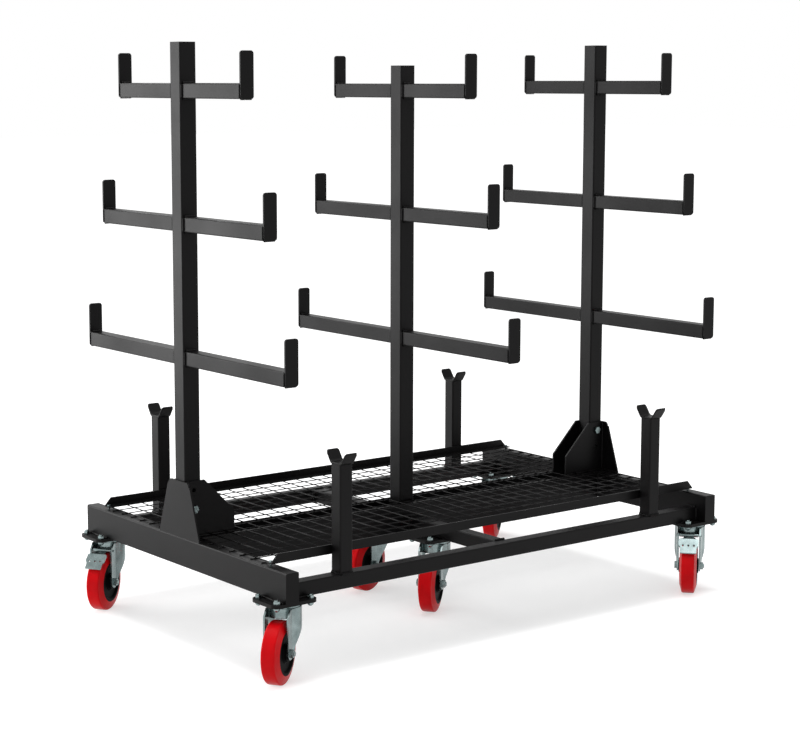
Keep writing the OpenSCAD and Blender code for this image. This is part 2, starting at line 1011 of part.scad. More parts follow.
// Point over the tread, at a reach behind the axle and a gap above the tread
function over_tread(reach, gap) = [trail + reach, axle_z + sqrt(pow(axle_z + gap, 2) - reach * reach)];

// Pedal plate bent over the tread, with the barrel that turns on its pin
module brake_pedal() {
    bend_1 = over_tread(pedal_reach / 2, pedal_gap + pedal_t);
    bend_2 = over_tread(0.78 * pedal_reach, pedal_gap);
    tip = over_tread(pedal_reach, pedal_gap);
    under = [brake_pin - [0, brake_pin_d / 2], bend_1, bend_2, tip];
    over = [for (i = [3 : -1 : 0]) under[i] + [0.45, 1] * pedal_t];
    color(zinc)
        difference() {
            union() {
                intersection() {
                    across_pedal(pedal_shoulder) polygon(concat(under, over));
                    linear_extrude(castor_h) pedal_plan(bend_1[0], bend_2[0], tip[0] + pedal_t);
                }
                across_pedal(pedal_barrel) translate(brake_pin) circle(d = 2 * brake_pin_d - 1);
            }
            across_pedal(2 * fork_out) translate(brake_pin) circle(d = brake_pin_d + 2 * pin_fit);
            for (side = [-1 : 1])
                translate([bend_2[0], side * pedal_tongue / 3, 0])
                    cylinder(d = pedal_hole, h = castor_h);
            translate([(brake_pin[0] + bend_1[0]) / 2 + pedal_t, 0, 0])
                cylinder(d = pedal_neck / 3, h = castor_h);
        }
}

// Plan of the pedal: neck, shoulders and tongue
module pedal_plan(neck_end, shoulder_end, tip) {
    slope = pedal_t + 1;
    for (side = [0, 1])
        mirror([0, side])
            polygon([
                [trail, -1],
                [trail, pedal_neck / 2],
                [neck_end - slope, pedal_neck / 2],
                [neck_end + slope, pedal_shoulder / 2],
                [shoulder_end, pedal_shoulder / 2],
                [shoulder_end + slope, pedal_tongue / 2],
                [tip, pedal_tongue / 2],
                [tip, -1]
            ]);
}

module across_pedal(width) {
    translate([0, width / 2, 0])
        rotate([90, 0, 0])
            linear_extrude(width)
                children();
}

module rear_left_castor_fork() {
    at_castor(castors[0]) castor_fork(true);
}

module rear_left_castor_axle() {
    at_castor(castors[0]) castor_axle(true);
}

module rear_left_castor_hub() {
    at_castor(castors[0]) castor_hub();
}

module rear_left_castor_tyre() {
    at_castor(castors[0]) castor_tyre();
}

module front_left_castor_fork() {
    at_castor(castors[1]) castor_fork(false);
}

module front_left_castor_axle() {
    at_castor(castors[1]) castor_axle(false);
}

module front_left_castor_hub() {
    at_castor(castors[1]) castor_hub();
}

module front_left_castor_tyre() {
    at_castor(castors[1]) castor_tyre();
}

module middle_rear_castor_fork() {
    at_castor(castors[2]) castor_fork(false);
}

module middle_rear_castor_axle() {
    at_castor(castors[2]) castor_axle(false);
}

module middle_rear_castor_hub() {
    at_castor(castors[2]) castor_hub();
}

module middle_rear_castor_tyre() {
    at_castor(castors[2]) castor_tyre();
}

module middle_front_castor_fork() {
    at_castor(castors[3]) castor_fork(false);
}

module middle_front_castor_axle() {
    at_castor(castors[3]) castor_axle(false);
}

module middle_front_castor_hub() {
    at_castor(castors[3]) castor_hub();
}

module middle_front_castor_tyre() {
    at_castor(castors[3]) castor_tyre();
}

module rear_right_castor_fork() {
    at_castor(castors[4]) castor_fork(false);
}

module rear_right_castor_axle() {
    at_castor(castors[4]) castor_axle(false);
}

module rear_right_castor_hub() {
    at_castor(castors[4]) castor_hub();
}

module rear_right_castor_tyre() {
    at_castor(castors[4]) castor_tyre();
}

module front_right_castor_fork() {
    at_castor(castors[5]) castor_fork(true);
}

module front_right_castor_axle() {
    at_castor(castors[5]) castor_axle(true);
}

module front_right_castor_hub() {
    at_castor(castors[5]) castor_hub();
}

module front_right_castor_tyre() {
    at_castor(castors[5]) castor_tyre();
}

module rear_left_brake_pedal() {
    at_castor(castors[0]) brake_pedal();
}

module front_right_brake_pedal() {
    at_castor(castors[5]) brake_pedal();
}

left_end_beam();
right_end_beam();
beam_end_caps();
front_side_rail();
rear_side_rail();
front_spine_channel();
rear_spine_channel();
cross_members();
front_left_post();
front_right_post();
rear_left_post();
rear_right_post();
stacking_cups();
left_tree_bracket();
right_tree_bracket();
centre_socket();
front_deck_angle();
rear_deck_angle();
front_deck_mesh();
rear_deck_mesh();
deck_bolts();
castor_mount_plates();
castor_top_plates();
castor_bolts();
pivot_bolts();
left_tree_upright();
left_tree_arms();
left_tree_stops();
centre_tree_upright();
centre_tree_arms();
centre_tree_stops();
right_tree_upright();
right_tree_arms();
right_tree_stops();
rear_left_castor_fork();
rear_left_castor_axle();
rear_left_castor_hub();
rear_left_castor_tyre();
front_left_castor_fork();
front_left_castor_axle();
front_left_castor_hub();
front_left_castor_tyre();
middle_rear_castor_fork();
middle_rear_castor_axle();
middle_rear_castor_hub();
middle_rear_castor_tyre();
middle_front_castor_fork();
middle_front_castor_axle();
middle_front_castor_hub();
middle_front_castor_tyre();
rear_right_castor_fork();
rear_right_castor_axle();
rear_right_castor_hub();
rear_right_castor_tyre();
front_right_castor_fork();
front_right_castor_axle();
front_right_castor_hub();
front_right_castor_tyre();
rear_left_brake_pedal();
front_right_brake_pedal();
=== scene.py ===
import json
import math
import random

import bmesh
import bpy
from mathutils import Matrix, Vector


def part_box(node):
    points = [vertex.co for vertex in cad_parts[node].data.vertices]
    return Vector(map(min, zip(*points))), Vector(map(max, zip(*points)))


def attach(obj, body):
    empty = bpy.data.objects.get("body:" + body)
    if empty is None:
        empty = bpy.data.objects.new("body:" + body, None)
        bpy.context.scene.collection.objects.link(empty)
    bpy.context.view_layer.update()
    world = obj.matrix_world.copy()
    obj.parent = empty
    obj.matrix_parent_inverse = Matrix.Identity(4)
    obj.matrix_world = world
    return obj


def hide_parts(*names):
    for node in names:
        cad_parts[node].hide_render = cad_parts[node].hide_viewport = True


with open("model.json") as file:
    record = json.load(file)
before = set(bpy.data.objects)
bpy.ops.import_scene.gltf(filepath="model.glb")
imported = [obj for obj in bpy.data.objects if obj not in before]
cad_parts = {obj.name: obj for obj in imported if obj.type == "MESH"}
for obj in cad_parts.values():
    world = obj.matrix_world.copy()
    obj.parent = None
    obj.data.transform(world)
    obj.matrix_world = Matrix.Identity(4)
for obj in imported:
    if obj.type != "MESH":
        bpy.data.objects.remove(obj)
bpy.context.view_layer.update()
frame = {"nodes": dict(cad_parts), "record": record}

# Pipe rack trolley: black powder coated steel, zinc plated castors with red treads.
# Everything is in metres; +Z is up and the floor is z = 0.

right, rear, up = Vector((1, 0, 0)), Vector((0, 1, 0)), Vector((0, 0, 1))


# camera

cameraSettings = {
    "azimuth": -36.106,  # degrees round Z, 0 looks along +Y
    "elevation": 7.752,  # degrees above the floor
    "roll": -0.185,
    "target": (0, 0, 0.7),
    "across": 0.254955,  # how far the target lies right of the optical axis
    "above": -0.057049,
    "distance": 5.654566,
    "focalPixels": 1946.872,
    "opticalCentre": (316.742, 341.767),
    "frameSize": (800, 747),
    "sensorWidth": 36,
    "clipEnd": 100,
}


def makeCamera(spec):
    azimuth, elevation, roll = (math.radians(spec[key]) for key in ("azimuth", "elevation", "roll"))
    level = math.cos(elevation)
    back = Vector((math.sin(azimuth) * level, -math.cos(azimuth) * level, math.sin(elevation)))
    levelRight = Vector((math.cos(azimuth), math.sin(azimuth), 0))
    levelUp = back.cross(levelRight)
    viewRight = math.cos(roll) * levelRight + math.sin(roll) * levelUp
    viewUp = math.cos(roll) * levelUp - math.sin(roll) * levelRight
    place = (Vector(spec["target"]) - spec["across"] * viewRight - spec["above"] * viewUp
             + spec["distance"] * back)
    turn = Matrix((viewRight, viewUp, back)).transposed().to_4x4()
    width, height = spec["frameSize"]
    data = bpy.data.cameras.new("photoCamera")
    data.sensor_fit = "HORIZONTAL"
    data.sensor_width = spec["sensorWidth"]
    data.lens = spec["sensorWidth"] * spec["focalPixels"] / width
    data.shift_x = (width / 2 - spec["opticalCentre"][0]) / width
    data.shift_y = (spec["opticalCentre"][1] - height / 2) / width
    data.clip_end = spec["clipEnd"]
    camera = bpy.data.objects.new("photoCamera", data)
    bpy.context.scene.collection.objects.link(camera)
    camera.matrix_world = Matrix.Translation(place) @ turn
    bpy.context.scene.camera = camera


# helpers for node trees

bevelSamples = 4


def addMath(tree, operation, *values):
    node = tree.nodes.new("ShaderNodeMath")
    node.operation = operation
    for socket, value in zip(node.inputs, values):
        if isinstance(value, bpy.types.NodeSocket):
            tree.links.new(value, socket)
        else:
            socket.default_value = value
    return node.outputs[0]


def addMix(tree, factor, first, second):
    mix = tree.nodes.new("ShaderNodeMix")
    mix.data_type = "RGBA"
    tree.links.new(factor, mix.inputs["Factor"])
    for socket, value in ((mix.inputs[6], first), (mix.inputs[7], second)):
        if isinstance(value, bpy.types.NodeSocket):
            tree.links.new(value, socket)
        else:
            socket.default_value = value
    return mix.outputs[2]


# Map Range from one span to another; smooth eases both ends
def addRange(tree, value, start=(0, 1), end=(0, 1), smooth=False):
    node = tree.nodes.new("ShaderNodeMapRange")
    if smooth:
        node.interpolation_type = "SMOOTHSTEP"
    node.inputs["From Min"].default_value, node.inputs["From Max"].default_value = start
    node.inputs["To Min"].default_value, node.inputs["To Max"].default_value = end
    tree.links.new(value, node.inputs["Value"])
    return node.outputs["Result"]


def objectCoords(tree):
    return tree.nodes.new("ShaderNodeTexCoord").outputs["Object"]


# Noise stretched so that its values from low to high run from 0 to 1
def addNoise(tree, coords, scale, detail=3, low=0.35, high=0.65):
    noise = tree.nodes.new("ShaderNodeTexNoise")
    noise.inputs["Scale"].default_value = scale
    noise.inputs["Detail"].default_value = detail
    tree.links.new(coords, noise.inputs["Vector"])
    return addRange(tree, noise.outputs["Fac"], start=(low, high))


# Normal that rounds the sharp edges within a radius, which is a socket
def addRoundNormal(tree, radius):
    bevel = tree.nodes.new("ShaderNodeBevel")
    bevel.samples = bevelSamples
    tree.links.new(radius, bevel.inputs["Radius"])
    return bevel.outputs["Normal"]


# Pieces are built where they stand, so each object stays at the origin
def addPiece(name, bm):
    mesh = bpy.data.meshes.new(name)
    bm.to_mesh(mesh)
    bm.free()
    piece = bpy.data.objects.new(name, mesh)
    bpy.context.scene.collection.objects.link(piece)
    return piece


# studio

studio = {
    "aim": (0, 0, 0.7),
    "softboxes": (
        # name, place, size, watts
        ("side", (-3.1, 3.2, 1.35), (2.4, 2.6), 108),  # the left faces mirror it
        ("top", (-0.3, -0.4, 4.2), (3.4, 3.0), 85),
        ("front", (-3.8, -2.6, 2.2), (1.6, 2.2), 11),
        ("rear", (-0.6, 3.7, 3.3), (2.6, 1.3), 50),  # lights the top edges that face left
    ),
    "ambient": 0.36,
    "floorAlbedo": 0.68,
    "floorSeenAlbedo": 0.5,  # the same floor as the camera sees it, under the glow
    "paintedShadowHalf": (0.785, 0.495),  # half length and half width of the painted shadow under the base
    "paintedShadowEdge": 0.035,  # the painted shadow's edge fades out over twice this much
    "paintedShadowGlow": 0.55,  # plain white added to the floor inside the painted shadow; being lower than outside, it paints the shadow
    "nearGlow": 0.78,  # the same just outside it, low enough for the wheels' own shadows to show
    "farReach": 0.9,  # from this far outside it the floor is plain white
    "floorHalf": 40,
}


def addSoftbox(name, place, size, watts, aim):
    data = bpy.data.lights.new(name, "AREA")
    data.shape = "RECTANGLE"
    data.size, data.size_y = size
    data.energy = watts
    lamp = bpy.data.objects.new(name, data)
    bpy.context.scene.collection.objects.link(lamp)
    lamp.location = place
    lamp.rotation_euler = (Vector(aim) - Vector(place)).to_track_quat("-Z", "Y").to_euler()


# 1 for rays from the camera, off a gloss or through glass, which all see the white studio
def addSeenRay(tree):
    path = tree.nodes.new("ShaderNodeLightPath")
    total = path.outputs["Is Camera Ray"]
    for name in ("Is Glossy Ray", "Is Transmission Ray"):
        total = addMath(tree, "MAXIMUM", total, path.outputs[name])
    return total


def makeWorld(spec):
    world = bpy.data.worlds.new("studioWorld")
    bpy.context.scene.world = world
    world.use_nodes = True
    tree = world.node_tree
    tree.nodes.clear()
    out = tree.nodes.new("ShaderNodeOutputWorld")
    mix = tree.nodes.new("ShaderNodeMixShader")
    tree.links.new(addSeenRay(tree), mix.inputs["Fac"])
    for socket, strength in ((mix.inputs[1], spec["ambient"]), (mix.inputs[2], 1)):
        light = tree.nodes.new("ShaderNodeBackground")
        light.inputs["Color"].default_value = (1, 1, 1, 1)
        light.inputs["Strength"].default_value = strength
        tree.links.new(light.outputs[0], socket)
    tree.links.new(mix.outputs[0], out.inputs["Surface"])


# The floor keeps real shadows, and a glow that only seen rays meet lifts it to white round the base; the
# glow is lower over the base's footprint, which paints a soft shadow there
def makeFloor(spec):
    bm = bmesh.new()
    bmesh.ops.create_grid(bm, x_segments=1, y_segments=1, size=spec["floorHalf"])
    floor = addPiece("studioFloor", bm)
    mat = bpy.data.materials.new("paleFloor")
    mat.use_nodes = True
    tree = mat.node_tree
    tree.nodes.clear()
    out = tree.nodes.new("ShaderNodeOutputMaterial")
    matte = tree.nodes.new("ShaderNodeBsdfDiffuse")
    glow = tree.nodes.new("ShaderNodeEmission")
    both = tree.nodes.new("ShaderNodeAddShader")
    seen = addSeenRay(tree)
    albedo = addRange(tree, seen, end=(spec["floorAlbedo"], spec["floorSeenAlbedo"]))
    tree.links.new(albedo, matte.inputs["Color"])
    place = tree.nodes.new("ShaderNodeSeparateXYZ")
    tree.links.new(objectCoords(tree), place.inputs[0])
    past = [addMath(tree, "SUBTRACT", addMath(tree, "ABSOLUTE", place.outputs[axis]), half)
            for axis, half in zip("XY", spec["paintedShadowHalf"])]
    outside = addMath(tree, "MAXIMUM", *past)
    edge = spec["paintedShadowEdge"]
    # painted shadow: the glow dips over the base's footprint rectangle, whatever the lamps do
    rise = addRange(tree, outside, (-edge, edge), (spec["paintedShadowGlow"], spec["nearGlow"]), smooth=True)
    fade = addRange(tree, outside, (edge, spec["farReach"]), (0, 1 - spec["nearGlow"]), smooth=True)
    strength = addMath(tree, "MULTIPLY", seen, addMath(tree, "ADD", rise, fade))
    tree.links.new(strength, glow.inputs["Strength"])
    tree.links.new(matte.outputs[0], both.inputs[0])
    tree.links.new(glow.outputs[0], both.inputs[1])
    tree.links.new(both.outputs[0], out.inputs["Surface"])
    floor.data.materials.append(mat)


# shared effects

coatPattern = {
    "haze": {"scale": 2.3, "detail": 5, "low": 0.45, "high": 0.9},  # slow drifts of the paler colour
    "patches": {"scale": 5, "detail": 4},  # changes of gloss
    "peelDetail": 2,
    "peelHeight": 0.0004,
}

rubAndHighlightPattern = {
    "turn": (0.985, 0.9),  # cosine to the rounded normal where the paler edge, rubbed coat and painted highlight, starts and where it is full
    "speckle": {"scale": 60, "detail": 4, "low": 0.4, "high": 0.7},
}

zincPattern = {
    "mottle": {"scale": 24, "detail": 5, "low": 0.3, "high": 0.75},
    "patches": {"scale": 70, "detail": 4},
}


def makeGroup(name, inputs, outputs):
    group = bpy.data.node_groups.new(name, "ShaderNodeTree")
    for label, kind, value in inputs:
        socket = group.interface.new_socket(label, in_out="INPUT", socket_type="NodeSocket" + kind)
        if value is not None:
            socket.default_value = value
    for label, kind in outputs:
        group.interface.new_socket(label, in_out="OUTPUT", socket_type="NodeSocket" + kind)
    return group, group.nodes.new("NodeGroupInput"), group.nodes.new("NodeGroupOutput")


# Orange peel of a sprayed coat, with slow changes of gloss across a surface
def makeCoatGroup(spec):
    group, entry, leave = makeGroup(
        "sprayedCoat",
        [("Colour", "Color", None), ("Haze Colour", "Color", None), ("Roughness", "Float", 0.4),
         ("Gloss Spread", "Float", 0.08), ("Peel Scale", "Float", 700), ("Peel Depth", "Float", 0.1)],
        [("Colour", "Color"), ("Roughness", "Float"), ("Normal", "Vector")],
    )
    given, links = entry.outputs, group.links
    coords = objectCoords(group)
    haze = addNoise(group, coords, **spec["haze"])
    patches = addNoise(group, coords, **spec["patches"])
    peel = group.nodes.new("ShaderNodeTexNoise")
    peel.inputs["Detail"].default_value = spec["peelDetail"]
    links.new(coords, peel.inputs["Vector"])
    links.new(given["Peel Scale"], peel.inputs["Scale"])
    bump = group.nodes.new("ShaderNodeBump")
    bump.inputs["Distance"].default_value = spec["peelHeight"]
    links.new(given["Peel Depth"], bump.inputs["Strength"])
    links.new(peel.outputs["Fac"], bump.inputs["Height"])
    links.new(addMix(group, haze, given["Colour"], given["Haze Colour"]), leave.inputs["Colour"])
    links.new(addMath(group, "MULTIPLY_ADD", patches, given["Gloss Spread"], given["Roughness"]),
              leave.inputs["Roughness"])
    links.new(bump.outputs["Normal"], leave.inputs["Normal"])
    return group


# Paler marks on edges, from how far the rounded normal leaves the flat one: partly the coat rubbed
# through, partly a painted highlight
def makeRubAndHighlightGroup(spec):
    group, entry, leave = makeGroup(
        "edgeRubAndHighlight", [("Radius", "Float", 0.0015), ("Amount", "Float", 0.6)], [("Mask", "Float")])
    links = group.links
    flat = group.nodes.new("ShaderNodeNewGeometry")
    dot = group.nodes.new("ShaderNodeVectorMath")
    dot.operation = "DOT_PRODUCT"
    links.new(addRoundNormal(group, entry.outputs["Radius"]), dot.inputs[0])
    links.new(flat.outputs["Normal"], dot.inputs[1])
    edge = addRange(group, dot.outputs["Value"], start=spec["turn"])
    speckle = addNoise(group, objectCoords(group), **spec["speckle"])
    broken = addMath(group, "MULTIPLY", edge, speckle)
    links.new(addMath(group, "MULTIPLY", broken, entry.outputs["Amount"]), leave.inputs["Mask"])
    return group


# Mottled bright zinc whose pressed edges catch the light as if rounded
def makeZincGroup(spec):
    group, entry, leave = makeGroup(
        "zincPlating",
        [("Colour", "Color", None), ("Shade Colour", "Color", None), ("Roughness", "Float", 0.2),
         ("Gloss Spread", "Float", 0.1), ("Edge Radius", "Float", 0.001)],
        [("Colour", "Color"), ("Roughness", "Float"), ("Normal", "Vector")],
    )
    given, links = entry.outputs, group.links
    coords = objectCoords(group)
    mottle = addNoise(group, coords, **spec["mottle"])
    patches = addNoise(group, coords, **spec["patches"])
    links.new(addMix(group, mottle, given["Colour"], given["Shade Colour"]), leave.inputs["Colour"])
    links.new(addMath(group, "MULTIPLY_ADD", patches, given["Gloss Spread"], given["Roughness"]),
              leave.inputs["Roughness"])
    links.new(addRoundNormal(group, given["Edge Radius"]), leave.inputs["Normal"])
    return group


print("shared effects")
sprayedCoat = makeCoatGroup(coatPattern)
edgeRubAndHighlight = makeRubAndHighlightGroup(rubAndHighlightPattern)
zincPlating = makeZincGroup(zincPattern)


# materials

blackCoat = {
    "colour": (0.0026, 0.0023, 0.0025, 1),
    "haze": (0.0050, 0.0047, 0.0051, 1),
    # paler colour on the edges: rubbed coat and a painted edge highlight
    "wornAndHighlight": (0.03, 0.03, 0.032, 1),
    "wornAndHighlightRadius": 0.0012,
    "wornAndHighlightAmount": 0.7,
    "roughness": 0.36,
    "specular": 0.115,
    "peelDepth": 0.12,
    "wirePeelDepth": 0.05,
}

zincPlate = {
    "colour": (0.27, 0.33, 0.33, 1),
    "shade": (0.12, 0.155, 0.155, 1),
    "roughness": 0.19,
    "spread": 0.12,  # added to the roughness in patches
    "edge": 0.0008,  # radius to which the light sees the pressed edges rounded
}

treadRubber = {
    "colour": (0.9, 0.0035, 0.008, 1),
    "shade": (0.74, 0.003, 0.007, 1),
    "roughness": (0.3, 0.4),
    "specular": 0.1,
    "mottle": {"scale": 14, "detail": 4},
    "patches": {"scale": 120},
}

hubNylon = {
    "colour": (0.0015, 0.0015, 0.0016, 1),
    "roughness": 0.42,
    "specular": 0.025,
    "grainScale": 1400,
    "grainDepth": 0.2,
}

castorPlate = {
    "node": "castor_top_plates",
    "underside": 0.202,  # the ball race and the kingpin, below this height, are bare zinc
}


def newMaterial(name):
    mat = bpy.data.materials.new(name)
    mat.use_nodes = True
    tree = mat.node_tree
    tree.nodes.clear()
    out = tree.nodes.new("ShaderNodeOutputMaterial")
    shader = tree.nodes.new("ShaderNodeBsdfPrincipled")
    tree.links.new(shader.outputs[0], out.inputs["Surface"])
    return mat, tree, shader


def placeGroup(tree, group, **values):
    node = tree.nodes.new("ShaderNodeGroup")
    node.node_tree = group
    for label, value in values.items():
        node.inputs[label.replace("_", " ")].default_value = value
    return node


def placeZinc(tree, spec):
    return placeGroup(tree, zincPlating, Colour=spec["colour"], Shade_Colour=spec["shade"],
                      Roughness=spec["roughness"], Gloss_Spread=spec["spread"], Edge_Radius=spec["edge"])


def makeBlackCoat(name, spec, peelDepth):
    mat, tree, shader = newMaterial(name)
    coat = placeGroup(tree, sprayedCoat, Colour=spec["colour"], Haze_Colour=spec["haze"],
                      Roughness=spec["roughness"], Peel_Depth=peelDepth)
    rubAndHighlight = placeGroup(tree, edgeRubAndHighlight, Radius=spec["wornAndHighlightRadius"], Amount=spec["wornAndHighlightAmount"])
    # paler edges: partly rubbed coat, partly a painted highlight
    tone = addMix(tree, rubAndHighlight.outputs["Mask"], coat.outputs["Colour"], spec["wornAndHighlight"])
    shader.inputs["Specular IOR Level"].default_value = spec["specular"]
    tree.links.new(tone, shader.inputs["Base Color"])
    tree.links.new(coat.outputs["Roughness"], shader.inputs["Roughness"])
    tree.links.new(coat.outputs["Normal"], shader.inputs["Normal"])
    return mat


def makeZinc(name, spec):
    mat, tree, shader = newMaterial(name)
    plating = placeZinc(tree, spec)
    shader.inputs["Metallic"].default_value = 1
    tree.links.new(plating.outputs["Colour"], shader.inputs["Base Color"])
    tree.links.new(plating.outputs["Roughness"], shader.inputs["Roughness"])
    tree.links.new(plating.outputs["Normal"], shader.inputs["Normal"])
    return mat


# Black plate with bare zinc below a height
def makePlateFinish(name, spec, zinc, height):
    mat, tree, shader = newMaterial(name)
    coat = placeGroup(tree, sprayedCoat, Colour=spec["colour"], Haze_Colour=spec["haze"],
                      Roughness=spec["roughness"])
    plating = placeZinc(tree, zinc)
    place = tree.nodes.new("ShaderNodeSeparateXYZ")
    tree.links.new(objectCoords(tree), place.inputs[0])
    bare = addMath(tree, "LESS_THAN", place.outputs["Z"], height)
    tone = addMix(tree, bare, coat.outputs["Colour"], plating.outputs["Colour"])
    rough = tree.nodes.new("ShaderNodeMix")
    tree.links.new(bare, rough.inputs["Factor"])
    tree.links.new(coat.outputs["Roughness"], rough.inputs[2])
    tree.links.new(plating.outputs["Roughness"], rough.inputs[3])
    shader.inputs["Specular IOR Level"].default_value = spec["specular"]
    tree.links.new(tone, shader.inputs["Base Color"])
    tree.links.new(bare, shader.inputs["Metallic"])
    tree.links.new(rough.outputs[0], shader.inputs["Roughness"])
    return mat


def makeTread(name, spec):
    mat, tree, shader = newMaterial(name)
    coords = objectCoords(tree)
    tone = addMix(tree, addNoise(tree, coords, **spec["mottle"]), spec["colour"], spec["shade"])
    rough = addRange(tree, addNoise(tree, coords, **spec["patches"]), end=spec["roughness"])
    shader.inputs["Specular IOR Level"].default_value = spec["specular"]
    tree.links.new(tone, shader.inputs["Base Color"])
    tree.links.new(rough, shader.inputs["Roughness"])
    return mat


def makeNylon(name, spec):
    mat, tree, shader = newMaterial(name)
    grain = placeGroup(tree, sprayedCoat, Colour=spec["colour"], Haze_Colour=spec["colour"],
                       Roughness=spec["roughness"], Peel_Scale=spec["grainScale"],
                       Peel_Depth=spec["grainDepth"])
    shader.inputs["Specular IOR Level"].default_value = spec["specular"]
    tree.links.new(grain.outputs["Colour"], shader.inputs["Base Color"])
    tree.links.new(grain.outputs["Roughness"], shader.inputs["Roughness"])
    tree.links.new(grain.outputs["Normal"], shader.inputs["Normal"])
    return mat


print("materials")
finishes = {
    "black_powder_coat": makeBlackCoat("blackPowderCoat", blackCoat, blackCoat["peelDepth"]),
    "black_wire": makeBlackCoat("blackWireCoat", blackCoat, blackCoat["wirePeelDepth"]),
    "zinc_steel": makeZinc("zincPlatedSheet", zincPlate),
    "zinc_bolts": makeZinc("zincPlatedBolts", zincPlate),
    "red_polyurethane": makeTread("redPolyurethane", treadRubber),
    "hub_plastic": makeNylon("blackNylon", hubNylon),
}
plateFinish = makePlateFinish("blackPlateZincRace", blackCoat, zincPlate, castorPlate["underside"])

for part in frame["record"]["subparts"]:
    isPlate = part["node"] == castorPlate["node"]
    node = frame["nodes"][part["node"]]
    node.data.materials.clear()
    node.data.materials.append(plateFinish if isPlate else finishes[part["material_slot"]])


# helpers for new pieces

def facesOf(verts):
    return {face for vert in verts for face in vert.link_faces}


def shadeSmooth(faces):
    for face in faces:
        face.smooth = True


def finishPiece(name, bm, body, slot, replaced=None):
    piece = addPiece(name, bm)
    piece.data.materials.append(finishes[slot])
    if replaced:
        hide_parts(replaced)
    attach(piece, body)


# deck mesh

deckMesh = {
    "wire": 0.003,
    "sides": 10,
    "long": (0.036, 0.075, 0.125, 0.175, 0.225, 0.275, 0.325, 0.375),  # from the centre line
    "longReach": 0.765,
    "longHeight": 0.2925,
    "crossHeight": 0.2956,
    "crossCount": 31,
    "crossReach": 0.75,
    "crossEnd": 0.4005,  # the cross wires end under the edge angle
    "bracketFrom": 0.615,  # past this x the cross wires stop at a bracket
    "bracketGap": 0.031,
    "centreX": -0.01,  # of the centre tree
    "uprightHalf": 0.028,  # within this of it the cross wires stop at the tree
    "uprightGap": 0.027,
    "nugget": 0.0019,  # weld at a crossing
}


def addWire(bm, start, end, spec):
    start, end = Vector(start), Vector(end)
    turn = (end - start).to_track_quat("Z", "Y").to_matrix().to_4x4()
    made = bmesh.ops.create_cone(
        bm, cap_ends=True, segments=spec["sides"], radius1=spec["wire"] / 2, radius2=spec["wire"] / 2,
        depth=(end - start).length, matrix=Matrix.Translation((start + end) / 2) @ turn)
    shadeSmooth(face for face in facesOf(made["verts"]) if len(face.verts) == 4)


def makeDeckMesh(side, way, spec):
    bm = bmesh.new()
    rows = [way * y for y in spec["long"]]
    reach, low, high = spec["longReach"], spec["longHeight"], spec["crossHeight"]
    for y in rows:
        addWire(bm, (-reach, y, low), (reach, y, low), spec)
    for i in range(spec["crossCount"]):
        x = spec["crossReach"] * (2 * i / (spec["crossCount"] - 1) - 1)
        first = 0
        if abs(x) > spec["bracketFrom"]:
            first = spec["bracketGap"]
        elif abs(x - spec["centreX"]) < spec["uprightHalf"]:
            first = spec["uprightGap"]
        addWire(bm, (x, way * first, high), (x, way * spec["crossEnd"], high), spec)
        for y in rows:
            if abs(y) > first:
                made = bmesh.ops.create_icosphere(bm, subdivisions=1, radius=spec["nugget"],
                                                  matrix=Matrix.Translation((x, y, (low + high) / 2)))
                shadeSmooth(facesOf(made["verts"]))
    finishPiece(side + "DeckMesh", bm, "base", "black_wire", replaced=side + "_deck_mesh")


print("deck mesh")
makeDeckMesh("front", -1, deckMesh)
makeDeckMesh("rear", 1, deckMesh)


# stacking cups

stackingCup = {
    "places": ((0.56, 0.443), (0.56, -0.443), (-0.56, 0.443), (-0.56, -0.443)),
    "foot": 0.536,  # height of a post's top
    "half": 0.02,  # half width of a post and of the sheet
    "flat": 0.0165,  # half length of the flat foot
    "bend": 0.009,  # radius of the bend, on the sheet's underside
    "angle": 0.98,  # rise of a flap, in radians
    "flap": 0.0298,  # straight length of a flap past its bend
    "wall": 0.005,
    "corner": 0.007,
    "edge": 0.0009,
    "rows": 40,
    "columns": 8,
    "sharp": 1,  # edges that turn by more than this many radians are rounded
}


# A flat grid is drawn in to round corners at both ends, then bent up past the flat foot
def bendSheet(verts, x, y, spec):
    arc = spec["bend"] * spec["angle"]
    reach = spec["flat"] + arc + spec["flap"]
    for vert in verts:
        across, way = vert.co.x, vert.co.y
        along = reach * math.sin(abs(way) * math.pi / 2)  # rows gather near the ends
        past = max(0, along - reach + spec["corner"])
        half = spec["half"] - spec["corner"] + math.sqrt(max(0, spec["corner"] ** 2 - past ** 2))
        turn = min(max(0, along - spec["flat"]) / spec["bend"], spec["angle"])
        rest = max(0, along - spec["flat"] - arc)
        out = min(along, spec["flat"]) + spec["bend"] * math.sin(turn) + rest * math.cos(turn)
        rise = spec["bend"] * (1 - math.cos(turn)) + rest * math.sin(turn)
        vert.co = (x + across * half, y + math.copysign(out, way), spec["foot"] + rise)


def makeStackingCups(spec):
    bm = bmesh.new()
    for x, y in spec["places"]:
        made = bmesh.ops.create_grid(bm, x_segments=spec["columns"], y_segments=spec["rows"], size=1)
        bendSheet(made["verts"], x, y, spec)
        bmesh.ops.solidify(bm, geom=list(facesOf(made["verts"])), thickness=-spec["wall"])
    bmesh.ops.recalc_face_normals(bm, faces=bm.faces)
    rims = [edge for edge in bm.edges if edge.is_manifold and edge.calc_face_angle() > spec["sharp"]]
    bmesh.ops.bevel(bm, geom=rims, offset=spec["edge"], offset_type="OFFSET", segments=2, profile=0.5,
                    affect="EDGES", clamp_overlap=True, material=-1)
    shadeSmooth(bm.faces)
    finishPiece("stackingCups", bm, "base", "black_powder_coat", replaced="stacking_cups")


print("stacking cups")
makeStackingCups(stackingCup)


# domed heads of the castor bolts

boltHeads = {
    "radius": 0.0095,
    "height": 0.0115,
    "sides": 20,
    "rings": 14,
    "spread": (0.0525, 0.04),  # of a plate's four bolts from its middle
    "castors": ((-0.7395, 0.439), (-0.7395, -0.439), (0, 0.143),
                (0, -0.143), (0.7395, 0.439), (0.7395, -0.439)),
    "clear": 0.0002,  # between a head's flat and the plate
}


